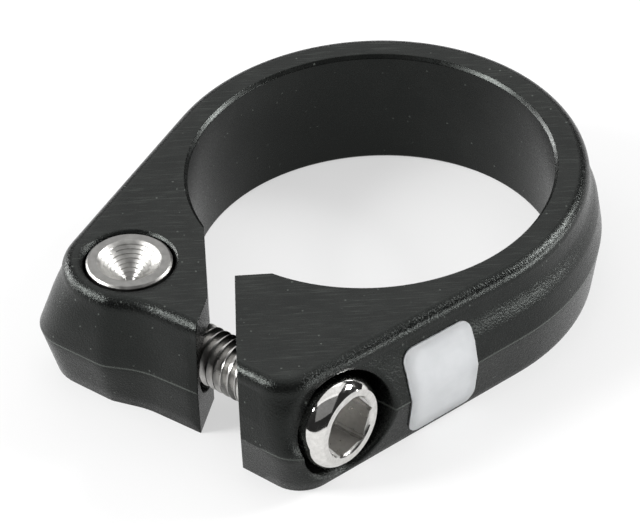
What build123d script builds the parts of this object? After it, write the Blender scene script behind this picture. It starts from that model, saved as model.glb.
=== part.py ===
"""Seatpost clamp for a bicycle frame: forged split collar, barrel nut, socket-head bolt and blank label.

Frame: millimetres, +Z up along the bore, origin on the bore's axis in the plane of the bottom face.
The bolt lies along X with its head towards +X, and the two ears point towards -Y.
The nose is the ear that holds the bolt's head, and the boss is the ear that holds the nut.
"""
from build123d import *
from collections import namedtuple
from math import asin, cos, radians, sin, sqrt, tan
import os

# Ring of the collar
bore_diameter = 31.8
collar_height = 11.4
parting_height = 4.5
belt_depth = 2.9
shoulder_rise = 0.9
bottom_wall = 2.95
parting_wall = 3.85
belt_wall = 3.6
cove_wall = 3.05
top_wall = 3.0
belt_round = 0.4
bore_chamfer = 0.3
top_round = 1.2
rim_land = 0.3

# Ears: lengths are from the bolt's axis, and the sides lean in by the tilts
bolt_reach = 6.25
bolt_drop = 0.35
nose_length = 6.05
nose_round = 3.0
boss_length = 6.4
boss_round = 4.1
front_offset = 6.7
front_round = 2.0
tip_length = 3.6
hollow_offset = 3.5
hollow_round = 8.0
bottom_tilt = 9.5
parting_tilt = 9.5
belt_tilt = 11.3
cove_tilt = 10.3
top_tilt = 11.7
bottom_draft = 1.1
belt_draft = 0.2
top_draft = 0.75
tip_bottom_draft = 0.1
tip_belt_draft = 0.3
tip_top_draft = 0.5
belt_softening = 0.7
top_softening = 1.9

# Slot between the ears
slot_width = 2.4
slot_angle = 43.0
slot_lean = 1.4
slot_inset = 2.4
slot_round = 0.5
relief_angle = 27.0
relief_setback = 1.8
nose_inset = 2.5

# Bolt and the holes that it passes
bolt_diameter = 5.0
bolt_length = 20.0
bolt_chamfer = 0.5
head_diameter = 8.6
head_height = 4.7
head_skirt = 3.2
head_face_diameter = 7.0
head_inset = 0.15
socket_flats = 5.0
socket_depth = 3.2
socket_turn = 35.0
socket_chamfer = 0.2
seat_clearance = 0.1
pocket_clearance = 0.65
nose_clearance = 0.3
tip_clearance = 0.65

# Barrel nut
nut_offset = 8.4
nut_diameter = 7.5
nut_stand = 0.05
nut_foot = 0.25
nut_chamfer = 0.15
nut_clearance = 0.25
nut_hole_chamfer = 0.25
dimple_diameter = 5.5
dimple_angle = 90.0
thread_clearance = 0.05

# Blank label on the nose's outer wall
label_width = 7.4
label_height = 8.8
label_round = 1.2
label_thickness = 0.12
label_gap = 0.02
label_middle = 12.0
label_bottom = 0.4

bore_radius = bore_diameter / 2
bolt_y = -(bore_radius + bolt_reach)
bolt_height = collar_height / 2 - bolt_drop
overshoot = 2 * bore_diameter
standing = (Align.CENTER, Align.CENTER, Align.MIN)


def way_out(angle):
    """Direction in plan that leads out of the bore between the ears, turned by angle from -Y to +X."""
    return Vector(sin(radians(angle)), -cos(radians(angle)))


# The slot's own directions in plan: along it out of the bore, and across it towards the nose
along = way_out(slot_angle)
across = Vector(cos(radians(slot_angle)), sin(radians(slot_angle)))
slot_middle = slot_inset - bore_radius

# Levels that give the forging its shape: bottom face, parting line, belt's upper edge, cove, rim, top face
Level = namedtuple("Level", "height wall tilt draft tip_draft softening")
belt_height = parting_height + belt_depth
bottom_level = Level(0.0, bottom_wall, bottom_tilt, bottom_draft, tip_bottom_draft, 0.0)
parting_level = Level(parting_height, parting_wall, parting_tilt, 0.0, 0.0, 0.0)
belt_level = Level(belt_height, belt_wall, belt_tilt, belt_draft, tip_belt_draft, belt_softening)
top_level = Level(collar_height, top_wall, top_tilt, top_draft, tip_top_draft, top_softening)
rim_level = top_level._replace(height=collar_height - top_round - rim_land)


def between(start, end, share):
    """Level that lies a share of the way from one level to another."""
    return Level(*[a + (b - a) * share for a, b in zip(start, end)])


def eased(lower, corner, upper):
    """Two levels that round off a corner of the forging's profile, belt_round under and over it."""
    under = between(corner, lower, belt_round / (corner.height - lower.height))
    over = between(corner, upper, belt_round / (upper.height - corner.height))
    return [under, over]


shoulder_share = shoulder_rise / (rim_level.height - belt_height)
cove_level = between(belt_level, rim_level, shoulder_share)._replace(wall=cove_wall, tilt=cove_tilt)
belt_levels = eased(parting_level, belt_level, cove_level)
cove_levels = eased(belt_level, cove_level, rim_level)
levels = [bottom_level, parting_level, *belt_levels, *cove_levels, rim_level, top_level]


def slot_point(reach, shift):
    """Point that lies reach along the slot and shift to the nose's side of its middle."""
    return along * reach + across * (slot_middle + shift)


def middle_point(y):
    """Point of the slot's middle line at y."""
    return Vector((slot_middle - across.Y * y) / across.X, y)


def side_point(radius, tilt, y):
    """Point at y on the ring's right-hand tangent, which leans in by tilt towards the ears."""
    return Vector((radius + y * sin(radians(tilt))) / cos(radians(tilt)), y)


def outline(level, grow):
    """Closed outline of the forging at one level, moved outwards by grow."""
    radius = bore_radius + level.wall + grow
    right = side_point(radius, level.tilt, -radius * sin(radians(level.tilt)))
    left = Vector(-right.X, right.Y)
    boss_y = bolt_y - boss_length + level.draft - grow
    tip_y = bolt_y - tip_length + level.tip_draft - grow
    nose_y = bolt_y - nose_length + level.draft - grow
    boss_corner = Vector(-side_point(radius, level.tilt, boss_y).X, boss_y)
    boss_end = Vector(-front_offset, boss_y + (tip_y - boss_y) * 0.12)
    hollow = Vector(-hollow_offset, boss_y + (tip_y - boss_y) * 0.7)
    nose_corner = side_point(radius, level.tilt, nose_y)
    tip = middle_point(tip_y)
    nose = middle_point(nose_y)
    boss_rounds = [boss_round + level.softening, front_round, hollow_round]
    edges = [
        ThreePointArc(right, (0, radius), left),
        FilletPolyline(left, boss_corner, boss_end, hollow, tip, radius=boss_rounds),
        Line(tip, nose),
        FilletPolyline(nose, nose_corner, right, radius=[nose_round]),
    ]
    return Pos(0, 0, level.height) * make_face(edges)


def forging(grow=0.0):
    """The forging before anything is machined into it."""
    return loft([outline(level, grow) for level in levels], ruled=True)


def upright(radius, height):
    """Cylinder standing on the plane z = 0."""
    return Cylinder(radius, height, align=standing)


def flare(radius, height):
    """Cone standing on the plane z = 0 and widening upwards from radius at 45 degrees."""
    return Cone(radius, radius + height, height, align=standing)


def through_hole(radius, edge):
    """Cylinder as tall as the collar whose two ends widen by edge."""
    hole = upright(radius, collar_height)
    hole += Pos(0, 0, collar_height - edge) * flare(radius, 2 * edge)
    hole += Pos(0, 0, edge) * Rot(180, 0, 0) * flare(radius, 2 * edge)
    return hole


def on_bolt_axis(shape, x):
    """Shape made upright on z = 0, laid along +X on the bolt's axis with its foot at x."""
    return Pos(x, bolt_y, bolt_height) * Rot(0, 90, 0) * shape


# Collar: forging with its top edge rounded, then bored, slotted and drilled
collar = forging()
top_edges = collar.faces().sort_by(Axis.Z)[-1].edges()
closing_point = middle_point(bolt_y - (tip_length + nose_length) / 2)
outer_edges = top_edges.sort_by_distance((closing_point.X, closing_point.Y, collar_height))[1:]
collar = fillet(outer_edges, top_round)
collar -= through_hole(bore_radius, bore_chamfer)

half_slot = slot_width / 2
bolt_crossing = along.dot(middle_point(bolt_y))
relief_start = slot_point(bolt_crossing - relief_setback, -half_slot)
relief_way = way_out(relief_angle)
nose_way = way_out(slot_angle - slot_lean)
nose_reach = bore_radius - nose_inset
nose_start = slot_point(nose_reach, half_slot)
slot_corners = [
    slot_point(0, -half_slot),
    relief_start,
    relief_start + relief_way * overshoot,
    nose_start + nose_way * overshoot,
    nose_start,
    along * nose_reach,
]
collar -= extrude(make_face(Polyline(*slot_corners, close=True)), collar_height)

boss_depth = slot_middle - half_slot
boss_lip = along * sqrt(bore_radius ** 2 - boss_depth ** 2) + across * boss_depth
upright_edges = collar.edges().filter_by(Axis.Z)
lip_edge = upright_edges.sort_by_distance((boss_lip.X, boss_lip.Y, collar_height / 2))[0]
collar = fillet(lip_edge, slot_round)

shank_radius = bolt_diameter / 2
head_radius = head_diameter / 2
wall_at_bolt = side_point(bore_radius + parting_wall, parting_tilt, bolt_y).X
seat_x = wall_at_bolt - head_inset - head_height
collar -= Pos(-nut_offset, bolt_y, 0) * through_hole(nut_diameter / 2 + nut_clearance, nut_hole_chamfer)
boss_side = Plane(origin=middle_point(bolt_y), z_dir=across)
tip_hole = on_bolt_axis(upright(shank_radius + tip_clearance, overshoot), -nut_offset)
collar -= split(tip_hole, bisect_by=boss_side, keep=Keep.BOTTOM)
collar -= on_bolt_axis(upright(shank_radius + nose_clearance, overshoot), -nut_offset)
collar -= on_bolt_axis(upright(head_radius + pocket_clearance, overshoot), seat_x - seat_clearance)
collar.label = "clamp_collar"

# Barrel nut: turned pin with a conical dimple in its top and a cross hole for the bolt
nut_length = collar_height + nut_stand - nut_foot
nut = upright(nut_diameter / 2, nut_length)
nut = chamfer(nut.edges().filter_by(GeomType.CIRCLE), nut_chamfer)
dimple_depth = dimple_diameter / 2 / tan(radians(dimple_angle / 2))
nut -= Pos(0, 0, nut_length - dimple_depth) * Cone(0, dimple_diameter / 2, dimple_depth, align=standing)
nut = Pos(-nut_offset, bolt_y, nut_foot) * nut
cross_hole = upright(shank_radius + thread_clearance, 2 * nut_diameter)
nut -= on_bolt_axis(cross_hole, -nut_offset - nut_diameter)
nut.label = "barrel_nut"

# Bolt: turned shank and domed head, with a hexagonal socket in the head's face
face_radius = head_face_diameter / 2
dome_rise = head_height - head_skirt
dome_drop = head_radius - face_radius
dome_radius = (dome_rise ** 2 + dome_drop ** 2) / (2 * dome_drop)
half_turn = asin(dome_rise / dome_radius) / 2
dome_middle = (head_radius - dome_radius * (1 - cos(half_turn)), head_skirt + dome_radius * sin(half_turn))
half_bolt = make_face([
    Polyline(
        (0, head_height),
        (0, -bolt_length),
        (shank_radius - bolt_chamfer, -bolt_length),
        (shank_radius, bolt_chamfer - bolt_length),
        (shank_radius, 0),
        (head_radius, 0),
        (head_radius, head_skirt)),
    ThreePointArc((head_radius, head_skirt), dome_middle, (face_radius, head_height)),
    Line((face_radius, head_height), (0, head_height)),
])
bolt = revolve(Plane.XZ * half_bolt, Axis.Z)
socket_shape = RegularPolygon(socket_flats / 2, 6, major_radius=False, rotation=socket_turn)
socket = extrude(socket_shape, socket_depth)
bolt -= Pos(0, 0, head_height - socket_depth) * socket
socket_corner = socket_flats / 2 / cos(radians(30))
bolt -= Pos(0, 0, head_height - socket_chamfer) * flare(socket_corner - socket_chamfer, 2 * socket_chamfer)
bolt = on_bolt_axis(bolt, seat_x)
bolt.label = "clamp_bolt"

# Blank label: thin plate that follows the forging's outer wall
label_skin = forging(label_gap + label_thickness) - forging(label_gap)
label_place = side_point(bore_radius + parting_wall, parting_tilt, -label_middle)
label_plane = Plane(
    origin=(label_place.X, label_place.Y, label_bottom + label_height / 2),
    x_dir=(sin(radians(parting_tilt)), cos(radians(parting_tilt)), 0),
    z_dir=(cos(radians(parting_tilt)), -sin(radians(parting_tilt)), 0))
label_shape = label_plane * RectangleRounded(label_width, label_height, label_round)
label = label_skin & extrude(label_shape, parting_wall, both=True)
label.label = "blank_label"

os.makedirs("parts", exist_ok=True)
for piece in (collar, nut, bolt, label):
    export_step(piece, "parts/" + piece.label + ".step")
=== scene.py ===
import math
import bmesh
import bpy
from mathutils import Matrix, Vector


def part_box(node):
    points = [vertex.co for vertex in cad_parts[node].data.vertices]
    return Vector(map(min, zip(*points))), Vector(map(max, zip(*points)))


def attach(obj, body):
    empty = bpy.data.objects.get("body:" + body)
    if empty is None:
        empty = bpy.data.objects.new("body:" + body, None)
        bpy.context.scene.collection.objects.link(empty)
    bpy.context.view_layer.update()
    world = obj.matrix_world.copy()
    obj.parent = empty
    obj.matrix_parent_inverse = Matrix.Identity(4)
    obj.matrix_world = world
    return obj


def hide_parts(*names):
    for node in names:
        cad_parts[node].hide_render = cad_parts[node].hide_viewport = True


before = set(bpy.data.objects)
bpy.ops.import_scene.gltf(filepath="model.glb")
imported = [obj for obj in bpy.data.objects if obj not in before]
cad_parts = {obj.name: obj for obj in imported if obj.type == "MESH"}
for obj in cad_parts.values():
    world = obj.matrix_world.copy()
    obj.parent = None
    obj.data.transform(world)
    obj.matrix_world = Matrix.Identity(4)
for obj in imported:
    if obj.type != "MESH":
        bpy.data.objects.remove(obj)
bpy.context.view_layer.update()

scene = bpy.context.scene

# Clamp collar
# One aluminium forging, bored, slotted and drilled after forging.
# It is blasted and coated black, so its forged skin is grainy and its machined faces are smoother.
coat_black = (0.0014, 0.0015, 0.0015, 1)
coat_grey = (0.0045, 0.0047, 0.0045, 1)
# Light grey of the worn coat, also used for the painted highlight on the parting line
coat_worn_and_highlight = (0.05, 0.055, 0.05, 1)
coat_shine = (0.93, 1.0, 0.95, 1)
bore_edge = 0.0161
bore_fade = 0.0001
top_edge = 0.01135
top_fade = 0.0002
rim_low = 0.0092
rim_high = 0.0102
ears_front = -0.0225
ears_back = -0.0185
slot_across = (0.731, 0.682, 0)
slot_middle = -0.0135
slot_half = 0.0024
seam_height = 0.0045
seam_core = 0.00004
seam_edge = 0.00012
corner_softness = 0.00014
wall_softness = 0.0006
ears_softness = 0.0011
grain_height = 0.00004


def finish_nodes(name):
    """New material, its node tree and its shader."""
    material = bpy.data.materials.new(name)
    material.use_nodes = True
    return material, material.node_tree, material.node_tree.nodes["Principled BSDF"]


def fill(tree, socket, value):
    """Socket set to a constant, or linked to another socket."""
    if isinstance(value, bpy.types.NodeSocket):
        tree.links.new(value, socket)
    else:
        socket.default_value = value


def add(tree, kind, **values):
    """Node of one kind. Names in small letters set its properties, and the others fill its inputs."""
    node = tree.nodes.new("ShaderNode" + kind)
    for key, value in values.items():
        if key[0].islower():
            setattr(node, key, value)
    for key, value in values.items():
        if key[0].isupper():
            fill(tree, node.inputs[key.replace("_", " ")], value)
    return node


def sums(tree, operation, first, second=0.0):
    """Result of one operation on one or two numbers or sockets."""
    node = add(tree, "Math", operation=operation)
    fill(tree, node.inputs[0], first)
    fill(tree, node.inputs[1], second)
    return node.outputs[0]


def off_axis(tree, first, second):
    """Distance from an axis, given the two distances square to it."""
    first_square = sums(tree, "POWER", first, 2.0)
    second_square = sums(tree, "POWER", second, 2.0)
    return sums(tree, "SQRT", sums(tree, "ADD", first_square, second_square))


def ramp(tree, value, low, high, start, end):
    """Value taken smoothly from the range low to high into start to end."""
    node = add(tree, "MapRange", interpolation_type="SMOOTHSTEP", Value=value,
               From_Min=low, From_Max=high, To_Min=start, To_Max=end)
    return node.outputs["Result"]


def noise(tree, place, scale, detail, roughness):
    """Grey noise at a place, finer as its scale grows."""
    node = add(tree, "TexNoise", Vector=place, Scale=scale, Detail=detail, Roughness=roughness)
    return node.outputs["Fac"]


def mottle(tree, grey, start, end):
    """Middle range of a grey noise taken smoothly into start to end."""
    return ramp(tree, grey, 0.3, 0.7, start, end)


def mix_numbers(tree, share, first, second):
    """Number taken from first to second by a share."""
    node = add(tree, "Mix", data_type="FLOAT", Factor=share)
    fill(tree, node.inputs[2], first)
    fill(tree, node.inputs[3], second)
    return node.outputs[0]


def mix_colours(tree, share, first, second, way="MIX"):
    """Colour taken from first to second by a share, or to their product."""
    node = add(tree, "Mix", data_type="RGBA", blend_type=way, Factor=share)
    fill(tree, node.inputs[6], first)
    fill(tree, node.inputs[7], second)
    return node.outputs[2]


def give_finish(node_name, material):
    """CAD node's plain material changed for a finish."""
    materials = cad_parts[node_name].data.materials
    materials.clear()
    materials.append(material)


coat, tree, shader = finish_nodes("black_coat")
shader.inputs["Specular IOR Level"].default_value = 0.26
shader.inputs["Specular Tint"].default_value = coat_shine
place = add(tree, "TexCoord").outputs["Object"]
parts = add(tree, "SeparateXYZ", Vector=place)
facing = add(tree, "SeparateXYZ", Vector=add(tree, "NewGeometry").outputs["Normal"])
radius = off_axis(tree, parts.outputs["X"], parts.outputs["Y"])
height = parts.outputs["Z"]
across_slot = add(tree, "VectorMath", operation="DOT_PRODUCT", Vector=place)
across_slot.inputs[1].default_value = slot_across
from_slot = sums(tree, "ABSOLUTE", sums(tree, "SUBTRACT", across_slot.outputs["Value"], slot_middle))
from_seam = sums(tree, "ABSOLUTE", sums(tree, "SUBTRACT", height, seam_height))

# The bore and the top face are machined
level_low = 0.97
level_high = 0.995
in_bore = ramp(tree, radius, bore_edge, bore_edge + bore_fade, 1.0, 0.0)
faces_up = ramp(tree, facing.outputs["Z"], level_low, level_high, 0.0, 1.0)
at_top = ramp(tree, height, top_edge - top_fade, top_edge, 0.0, 1.0)
on_top = sums(tree, "MULTIPLY", faces_up, at_top)
machined = sums(tree, "MAXIMUM", in_bore, on_top)

# The forged skin is grainy, the top face is brushed along one line, and the bore is turned
grain = noise(tree, place, scale=5200.0, detail=2.0, roughness=0.7)
strokes_map = add(tree, "Mapping", vector_type="TEXTURE", Vector=place, Rotation=(0, 0, 0.74),
                  Scale=(1 / 320, 1 / 7000, 1 / 7000))
strokes = noise(tree, strokes_map.outputs["Vector"], scale=1.0, detail=3.0, roughness=0.65)
turning_map = add(tree, "Mapping", Vector=place, Scale=(60.0, 60.0, 9000.0))
turning = noise(tree, turning_map.outputs["Vector"], scale=1.0, detail=3.0, roughness=0.6)
marks = mix_numbers(tree, in_bore, strokes, turning)
relief = mix_numbers(tree, machined, grain, marks)

# The coat is worn along the brushed strokes and in small specks, and a painted highlight lies as a light
# line along the parting line
seam_gap = 0.0004
scratch_low = 0.5
scratch_high = 0.75
scratch_share = 0.35
speck_core = 0.05
speck_edge = 0.11
# The light line on the parting line is a painted highlight, not wear
on_seam = ramp(tree, from_seam, seam_core, seam_edge, 1.0, 0.0)
past_slot = ramp(tree, from_slot, slot_half, slot_half + seam_gap, 0.0, 1.0)
seam = sums(tree, "MULTIPLY", on_seam, past_slot)
seam_highlight = sums(tree, "MULTIPLY", seam, sums(tree, "SUBTRACT", 1.0, in_bore))
scratches = ramp(tree, strokes, scratch_low, scratch_high, 0.0, 1.0)
top_wear = sums(tree, "MULTIPLY", scratches, sums(tree, "MULTIPLY", on_top, scratch_share))
dots = add(tree, "TexVoronoi", Vector=place, Scale=900.0, Randomness=1.0)
specks = ramp(tree, dots.outputs["Distance"], speck_core, speck_edge, 1.0, 0.0)
wear_and_highlight = sums(tree, "MAXIMUM", seam_highlight, sums(tree, "MAXIMUM", top_wear, specks))
cloud = noise(tree, place, scale=260.0, detail=4.0, roughness=0.6)
tint = mix_colours(tree, mottle(tree, cloud, 0.0, 1.0), coat_black, coat_grey)
fill(tree, shader.inputs["Base Color"], mix_colours(tree, wear_and_highlight, tint, coat_worn_and_highlight))

# The grain makes the coat uneven in gloss, and the machined faces are duller and flatter
coat_rough_low = 0.2
coat_rough_high = 0.32
machined_dulling = 0.04
machined_flatness = 0.85
dulling = sums(tree, "MULTIPLY", machined, machined_dulling)
roughness = sums(tree, "ADD", mottle(tree, grain, coat_rough_low, coat_rough_high), dulling)
fill(tree, shader.inputs["Roughness"], roughness)
strength = sums(tree, "SUBTRACT", 1.0, sums(tree, "MULTIPLY", machined, machined_flatness))

# The blasted edges are soft, most of all on the ears
skin_start = 0.0004
skin_full = 0.0012
skin_gap = 0.0008
off_bore = ramp(tree, radius, bore_edge + skin_start, bore_edge + skin_full, 0.0, 1.0)
off_slot = ramp(tree, from_slot, slot_half, slot_half + skin_gap, 0.0, 1.0)
skin = sums(tree, "MULTIPLY", off_bore, off_slot)
on_wall = ramp(tree, height, rim_low, rim_high, wall_softness, 0.0)
on_ears = ramp(tree, parts.outputs["Y"], ears_front, ears_back, ears_softness, 0.0)
softness = sums(tree, "MULTIPLY", skin, sums(tree, "ADD", on_wall, on_ears))
soft_edge = add(tree, "Bevel", samples=8, Radius=sums(tree, "ADD", softness, corner_softness))
bump = add(tree, "Bump", Strength=strength, Distance=grain_height, Height=relief,
           Normal=soft_edge.outputs["Normal"])
fill(tree, shader.inputs["Normal"], bump.outputs["Normal"])
give_finish("clamp_collar", coat)

# Barrel nut
# Turned steel pin that stands in the boss and takes the bolt's thread through its cross hole.
# The tool's steps are left in the cone of its dimple.
nut_dark = (0.33, 0.325, 0.315, 1)
nut_light = (0.41, 0.405, 0.39, 1)
rim_shade = (0.66, 0.66, 0.66, 1)
nut_low, nut_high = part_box("barrel_nut")
nut_x = (nut_low[0] + nut_high[0]) / 2
nut_y = (nut_low[1] + nut_high[1]) / 2
nut_radius = (nut_high[0] - nut_low[0]) / 2
nut_top = nut_high[2]
nut_steps = 128
cut_depth = 0.0031
cut_height = nut_top - cut_depth
nut_bevel = 0.00018
bevel_blend = 0.00004
edge_break = 0.00002
dimple_radius = 0.00275
dimple_blend = 0.00005
dimple_break = 0.00003
dimple_point = 0.0001
ring_count = 9
ring_width = 0.00028
ring_tread = 0.88
ring_drop = 0.74
joint_reach = 0.00005
dimple_fade = 0.0001
nut_rough_low = 0.34
nut_rough_high = 0.44


def merged_copy(node_name):
    """Mesh of a CAD node with its loose triangles joined."""
    mesh = bmesh.new()
    mesh.from_mesh(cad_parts[node_name].data)
    bmesh.ops.remove_doubles(mesh, verts=mesh.verts, dist=1e-7)
    return mesh


def cut_off(mesh, point, outwards):
    """Mesh cut at a plane, without what lies outwards of it."""
    bmesh.ops.bisect_plane(mesh, geom=mesh.verts[:] + mesh.edges[:] + mesh.faces[:], dist=1e-8,
                           plane_co=point, plane_no=outwards, clear_outer=True)


def turn_profile(mesh, profile, centre, axis, steps, turns=1, pitch=0.0):
    """Line of points turned round an axis, as a closed ring or as a screw with a pitch."""
    corners = [mesh.verts.new(point) for point in profile]
    lines = [mesh.edges.new(pair) for pair in zip(corners, corners[1:])]
    bmesh.ops.spin(mesh, geom=corners + lines, cent=centre, axis=axis, dvec=Vector(axis) * (pitch / steps),
                   angle=math.tau * turns, steps=steps * turns, use_merge=pitch == 0, use_duplicate=False)


def shade(mesh, sharp_angle):
    """Faces made smooth, with each edge sharp that bends by an angle or more."""
    for face in mesh.faces:
        face.smooth = True
    for edge in mesh.edges:
        edge.smooth = edge.calc_face_angle(0) < sharp_angle


def new_piece(name, mesh, material, body):
    """Object made from a finished mesh, riding a body and given its finish."""
    data = bpy.data.meshes.new(name)
    mesh.to_mesh(data)
    mesh.free()
    data.materials.append(material)
    piece = bpy.data.objects.new(name, data)
    scene.collection.objects.link(piece)
    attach(piece, body)
    return piece


nut_mesh = merged_copy("barrel_nut")
cut_off(nut_mesh, (0, 0, cut_height), (0, 0, 1))
rim = [
    (nut_radius, cut_height + edge_break),
    (nut_radius, nut_top - nut_bevel - bevel_blend),
    (nut_radius - edge_break, nut_top - nut_bevel),
    (nut_radius - nut_bevel, nut_top - edge_break),
    (nut_radius - nut_bevel - dimple_blend, nut_top),
    (dimple_radius + dimple_blend, nut_top),
    (dimple_radius, nut_top - dimple_break),
]
for ring in range(ring_count):
    outer = dimple_radius - ring * ring_width
    level = nut_top - dimple_break - ring * ring_width
    rim.append((outer - ring_width * ring_tread, level - ring_width * ring_drop))
    rim.append((outer - ring_width, level - ring_width))
rim.append((0.0, rim[-1][1] - dimple_point))
rim_points = [(nut_x + reach, nut_y, level) for reach, level in rim]
turn_profile(nut_mesh, rim_points, (nut_x, nut_y, 0), (0, 0, 1), nut_steps)
bmesh.ops.remove_doubles(nut_mesh, verts=nut_mesh.verts, dist=1e-7)
joint_edges = []
for edge in nut_mesh.edges:
    level = (edge.verts[0].co.z + edge.verts[1].co.z) / 2
    if edge.is_boundary and abs(level - cut_height) < joint_reach:
        joint_edges.append(edge)
bmesh.ops.bridge_loops(nut_mesh, edges=joint_edges)
bmesh.ops.recalc_face_normals(nut_mesh, faces=nut_mesh.faces)
shade(nut_mesh, math.radians(12))

nut_steel, tree, shader = finish_nodes("turned_steel")
shader.inputs["Metallic"].default_value = 1.0
place = add(tree, "TexCoord").outputs["Object"]
centred = add(tree, "Mapping", vector_type="POINT", Vector=place, Location=(-nut_x, -nut_y, 0))
parts = add(tree, "SeparateXYZ", Vector=centred.outputs["Vector"])
radius = off_axis(tree, parts.outputs["X"], parts.outputs["Y"])
ring_place = add(tree, "CombineXYZ", X=radius, Y=parts.outputs["Z"])
rings = noise(tree, ring_place.outputs["Vector"], scale=9000.0, detail=3.0, roughness=0.6)
patches = noise(tree, place, scale=1500.0, detail=4.0, roughness=0.6)
tint = mix_colours(tree, mottle(tree, patches, 0.0, 1.0), nut_dark, nut_light)
# The rim outside the dimple is painted darker, a painted shade
off_dimple = ramp(tree, radius, dimple_radius, dimple_radius + dimple_fade, 0.0, 1.0)
rim_shaded = mix_colours(tree, off_dimple, tint, rim_shade, "MULTIPLY")
fill(tree, shader.inputs["Base Color"], rim_shaded)
fill(tree, shader.inputs["Roughness"], mottle(tree, patches, nut_rough_low, nut_rough_high))
bump = add(tree, "Bump", Strength=0.25, Distance=0.00001, Height=rings)
fill(tree, shader.inputs["Normal"], bump.outputs["Normal"])
nut = new_piece("turned_nut", nut_mesh, nut_steel, "nut")
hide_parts("barrel_nut")

# Clamp bolt
# Polished steel bolt with a domed socket head in the nose's pocket.
# Its coarse thread crosses the slot and screws into the barrel nut.
bolt_dark = (0.62, 0.61, 0.59, 1)
bolt_light = (0.74, 0.73, 0.71, 1)
bolt_dulling = (0.75, 0.75, 0.75, 1)
bolt_low, bolt_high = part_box("clamp_bolt")
bolt_y = (bolt_low[1] + bolt_high[1]) / 2
bolt_z = (bolt_low[2] + bolt_high[2]) / 2
bolt_tip = bolt_low[0]
socket_reach = 0.0027
socket_edge = 0.0029
thread_end = 0.0055
thread_lap = 0.0002
thread_fade = 0.0003
thread_pitch = 0.0008
thread_steps = 48
spare_turns = 3
crest_radius = 0.00248
root_radius = 0.00204
bolt_rough_low = 0.05
bolt_rough_high = 0.11
unpolished_dulling = 0.22
bolt_mesh = merged_copy("clamp_bolt")
cut_off(bolt_mesh, (thread_end, 0, 0), (-1, 0, 0))
bmesh.ops.holes_fill(bolt_mesh, edges=[edge for edge in bolt_mesh.edges if edge.is_boundary])

thread_mesh = bmesh.new()
thread_start = bolt_tip - spare_turns / 2 * thread_pitch
thread_turns = math.ceil((thread_end - bolt_tip) / thread_pitch) + spare_turns
tooth = [(0.0, root_radius), (0.06, root_radius), (0.44, crest_radius), (0.56, crest_radius),
         (0.94, root_radius), (1.0, root_radius)]
tooth_points = [(thread_start + share * thread_pitch, bolt_y, bolt_z + reach) for share, reach in tooth]
turn_profile(thread_mesh, tooth_points, (thread_start, bolt_y, bolt_z), (1, 0, 0), thread_steps,
             thread_turns, thread_pitch)
bmesh.ops.remove_doubles(thread_mesh, verts=thread_mesh.verts, dist=2e-6)
cut_off(thread_mesh, (bolt_tip, 0, 0), (-1, 0, 0))
cut_off(thread_mesh, (thread_end + thread_lap, 0, 0), (1, 0, 0))
bmesh.ops.holes_fill(thread_mesh, edges=[edge for edge in thread_mesh.edges if edge.is_boundary])
bmesh.ops.recalc_face_normals(thread_mesh, faces=thread_mesh.faces)
thread_data = bpy.data.meshes.new("thread")
thread_mesh.to_mesh(thread_data)
thread_mesh.free()
bolt_mesh.from_mesh(thread_data)
bpy.data.meshes.remove(thread_data)
shade(bolt_mesh, math.radians(20))

bolt_steel, tree, shader = finish_nodes("polished_steel")
shader.inputs["Metallic"].default_value = 1.0
place = add(tree, "TexCoord").outputs["Object"]
parts = add(tree, "SeparateXYZ", Vector=place)
from_middle = sums(tree, "SUBTRACT", parts.outputs["Y"], bolt_y)
from_level = sums(tree, "SUBTRACT", parts.outputs["Z"], bolt_z)
radius = off_axis(tree, from_middle, from_level)
on_thread = ramp(tree, parts.outputs["X"], thread_end, thread_end + thread_fade, 1.0, 0.0)
near_axis = ramp(tree, radius, socket_reach, socket_edge, 1.0, 0.0)
in_socket = sums(tree, "MULTIPLY", near_axis, sums(tree, "SUBTRACT", 1.0, on_thread))
unpolished = sums(tree, "MAXIMUM", on_thread, in_socket)
patches = noise(tree, place, scale=1800.0, detail=4.0, roughness=0.65)
tint = mix_colours(tree, mottle(tree, patches, 0.0, 1.0), bolt_dark, bolt_light)
oiled = mix_colours(tree, unpolished, tint, bolt_dulling, "MULTIPLY")
fill(tree, shader.inputs["Base Color"], oiled)
dulling = sums(tree, "MULTIPLY", unpolished, unpolished_dulling)
roughness = sums(tree, "ADD", mottle(tree, patches, bolt_rough_low, bolt_rough_high), dulling)
fill(tree, shader.inputs["Roughness"], roughness)
bump = add(tree, "Bump", Strength=0.12, Distance=0.000006, Height=patches)
fill(tree, shader.inputs["Normal"], bump.outputs["Normal"])
bolt = new_piece("threaded_bolt", bolt_mesh, bolt_steel, "bolt")
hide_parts("clamp_bolt")

# Blank label
# Thin satin silver film stuck to the nose's outer wall, left bare.
# It bends softly where the wall has its parting line.
film_dark = (0.425, 0.435, 0.445, 1)
film_light = (0.46, 0.47, 0.48, 1)
film_rough_low = 0.38
film_rough_high = 0.5
bend_softness = 0.0018
film, tree, shader = finish_nodes("satin_film")
shader.inputs["Specular IOR Level"].default_value = 0.35
place = add(tree, "TexCoord").outputs["Object"]
brush_map = add(tree, "Mapping", Vector=place, Scale=(900.0, 900.0, 12000.0))
brush = noise(tree, brush_map.outputs["Vector"], scale=1.0, detail=3.0, roughness=0.6)
haze = noise(tree, place, scale=500.0, detail=4.0, roughness=0.6)
tint = mix_colours(tree, mottle(tree, haze, 0.0, 1.0), film_dark, film_light)
fill(tree, shader.inputs["Base Color"], tint)
fill(tree, shader.inputs["Roughness"], mottle(tree, brush, film_rough_low, film_rough_high))
soft_bend = add(tree, "Bevel", samples=8, Radius=bend_softness)
bump = add(tree, "Bump", Strength=0.15, Distance=0.00001, Height=brush,
           Normal=soft_bend.outputs["Normal"])
fill(tree, shader.inputs["Normal"], bump.outputs["Normal"])
give_finish("blank_label", film)

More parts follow.
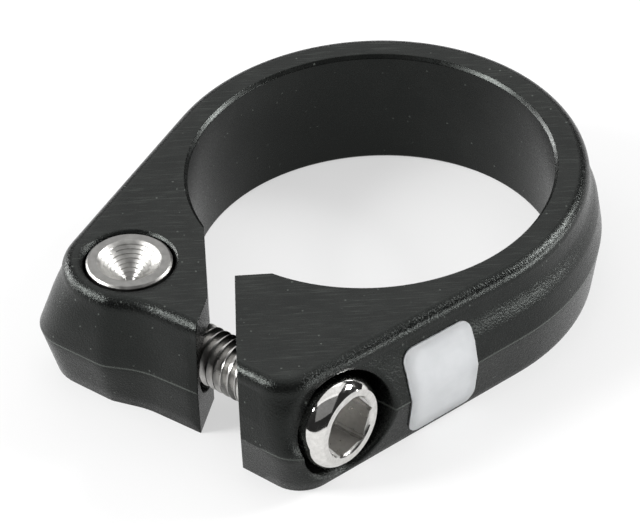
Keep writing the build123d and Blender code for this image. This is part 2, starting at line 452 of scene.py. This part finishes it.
# Paper and room
# The clamp stands on a flat sheet of white paper, with a plain dim room all round.
# The paper is shown white to the camera and in reflections, and keeps a faint shadow.
paper_size = 1.5
paper_grey = (0.8, 0.8, 0.8, 1)
shadow_grey = (0.28, 0.28, 0.28, 1)
glow_white = (1, 1, 1, 1)
glow_strength = 0.58
room_grey = (0.03, 0.03, 0.03, 1)
paper_mesh = bmesh.new()
bmesh.ops.create_grid(paper_mesh, x_segments=1, y_segments=1, size=paper_size)
paper_data = bpy.data.meshes.new("paper")
paper_mesh.to_mesh(paper_data)
paper_mesh.free()
paper = bpy.data.objects.new("paper", paper_data)
scene.collection.objects.link(paper)
paper_white, tree, shader = finish_nodes("paper_white")
tree.nodes.remove(shader)
plain = add(tree, "BsdfDiffuse", Color=paper_grey)
shaded = add(tree, "BsdfDiffuse", Color=shadow_grey)
glow = add(tree, "Emission", Color=glow_white, Strength=glow_strength)
shown = add(tree, "AddShader")
fill(tree, shown.inputs[0], shaded.outputs[0])
fill(tree, shown.inputs[1], glow.outputs[0])
rays = add(tree, "LightPath")
mirrored = sums(tree, "MAXIMUM", rays.outputs["Is Glossy Ray"], rays.outputs["Is Transmission Ray"])
seen = sums(tree, "MAXIMUM", rays.outputs["Is Camera Ray"], mirrored)
choice = add(tree, "MixShader", Fac=seen)
fill(tree, choice.inputs[1], plain.outputs[0])
fill(tree, choice.inputs[2], shown.outputs[0])
fill(tree, tree.nodes["Material Output"].inputs["Surface"], choice.outputs[0])
paper_data.materials.append(paper_white)

world = bpy.data.worlds.new("room")
scene.world = world
world.use_nodes = True
world.node_tree.nodes["Background"].inputs["Color"].default_value = room_grey

# Camera
# It stands in front and to the right, above the clamp, with a long lens and a slight roll.
# Colours are shown as they are written.
photo_width = 640
focal_pixels = 10467
sensor_width = 36
turn = math.radians(42.5)
rise = math.radians(39.05)
roll = math.radians(-3.17)
stand_back = 0.9112
shift_right = -0.004847
shift_up = 0.0011025
right = Vector((math.cos(turn), math.sin(turn), 0))
ahead = Vector((-math.sin(turn), math.cos(turn), 0))
look = ahead * math.cos(rise) - Vector((0, 0, 1)) * math.sin(rise)
up = ahead * math.sin(rise) + Vector((0, 0, 1)) * math.cos(rise)
spot = look * -stand_back + right * shift_right + up * shift_up
side = right * math.cos(roll) + up * math.sin(roll)
top = right * -math.sin(roll) + up * math.cos(roll)
camera_data = bpy.data.cameras.new("camera")
camera_data.sensor_width = sensor_width
camera_data.lens = focal_pixels / photo_width * sensor_width
camera_data.clip_start = 0.01
camera_data.clip_end = 10
camera = bpy.data.objects.new("camera", camera_data)
camera.matrix_world = Matrix((
    (side.x, top.x, -look.x, spot.x),
    (side.y, top.y, -look.y, spot.y),
    (side.z, top.z, -look.z, spot.z),
    (0, 0, 0, 1)))
scene.collection.objects.link(camera)
scene.camera = camera
scene.view_settings.view_transform = "Standard"

# Lamps
# Soft boxes stand round the clamp and above it, each turned to it.
# Their places are measured from the clamp: to the camera's right, away from the camera, and up.
# The two low ones draw bright lines along the collar's side walls.


def soft_box(name, across, along, height, wide, high, power):
    """Rectangular soft light, turned to the clamp."""
    data = bpy.data.lights.new(name, "AREA")
    data.shape = "RECTANGLE"
    data.size = wide
    data.size_y = high
    data.energy = power
    lamp = bpy.data.objects.new(name, data)
    lamp.location = right * across + ahead * along + Vector((0, 0, height))
    lamp.rotation_euler = (lamp.location * -1).to_track_quat("-Z", "Y").to_euler()
    scene.collection.objects.link(lamp)


soft_box("back_box", across=0.0, along=0.55, height=0.5, wide=0.7, high=0.7, power=1.6)
soft_box("right_box", across=0.48, along=0.14, height=0.34, wide=0.15, high=0.15, power=3.4)
soft_box("low_box", across=0.52, along=-0.09, height=0.07, wide=0.42, high=0.06, power=2.5)
soft_box("left_box", across=-0.42, along=-0.05, height=0.28, wide=0.16, high=0.16, power=3.0)
soft_box("left_low_box", across=-0.46, along=0.25, height=0.1, wide=0.34, high=0.1, power=2.4)
soft_box("front_box", across=0.02, along=-0.5, height=0.7, wide=1.2, high=0.9, power=0.8)
soft_box("top_box", across=0.0, along=0.14, height=0.8, wide=1.2, high=0.8, power=3.2)
